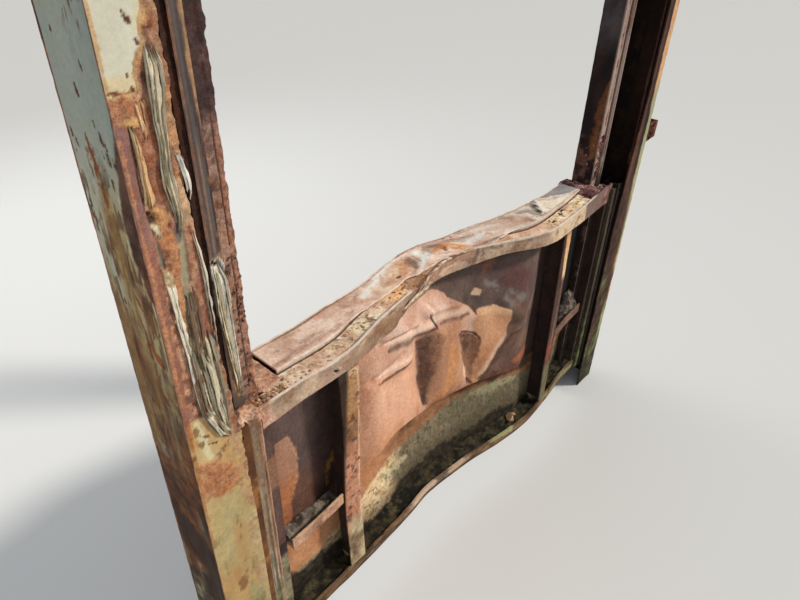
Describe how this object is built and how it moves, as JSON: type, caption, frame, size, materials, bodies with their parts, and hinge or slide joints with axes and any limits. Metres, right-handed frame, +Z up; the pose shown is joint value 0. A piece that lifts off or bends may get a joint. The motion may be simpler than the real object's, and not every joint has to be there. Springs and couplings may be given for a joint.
{
  "type": "sluice gate",
  "caption": "Old steel sluice gate: grooved posts joined by a head beam, and a ribbed sliding leaf with a bowed, torn top beam and a buckled skin plate.",
  "frame": {"origin": "middle of the left post's web at its foot, where the post meets the water line", "axes": "+X from the left post to the right post along the gate, +Y upstream, +Z up"},
  "size_m": [3.3, 0.4141, 3.4],
  "materials": {
    "post_paint": "matte",
    "flaking_rust": "matte",
    "dark_rust": "matte",
    "grey_steel": "matte",
    "beam_rust": "matte",
    "skin_rust": "matte",
    "orange_rust": "matte",
    "slime": "matte",
    "old_timber": "matte"
  },
  "bodies": {
    "frame": {"left_post_web": "post_paint", "left_post_front_flange": "flaking_rust", "left_post_back_flange": "dark_rust", "left_guide_channel": "dark_rust", "left_guide_strip": "grey_steel", "right_post_web": "post_paint", "right_post_front_flange": "flaking_rust", "right_post_back_flange": "dark_rust", "right_guide_channel": "dark_rust", "right_guide_strip": "grey_steel", "left_groove_liner": "dark_rust", "right_groove_liner": "dark_rust", "right_wall_cleat": "dark_rust", "head_beam": "dark_rust"},
    "leaf": {"top_beam": "beam_rust", "top_cover": "beam_rust", "torn_strip": "beam_rust", "skin_plate": "skin_rust", "left_rib": "orange_rust", "right_rib": "orange_rust", "left_shelf": "orange_rust", "right_shelf": "orange_rust", "bottom_beam": "slime", "bottom_strip": "orange_rust", "left_end_plate": "orange_rust", "right_end_plate": "orange_rust", "left_seal_timber": "old_timber", "right_seal_timber": "old_timber", "left_tongue": "orange_rust", "right_tongue": "orange_rust"}
  },
  "joints": [
    {"name": "leaf_lift", "type": "slide", "parent": "frame", "child": "leaf", "axis": [0, 0, 1], "range_m": [-0.19, 1.4]}
  ]
}
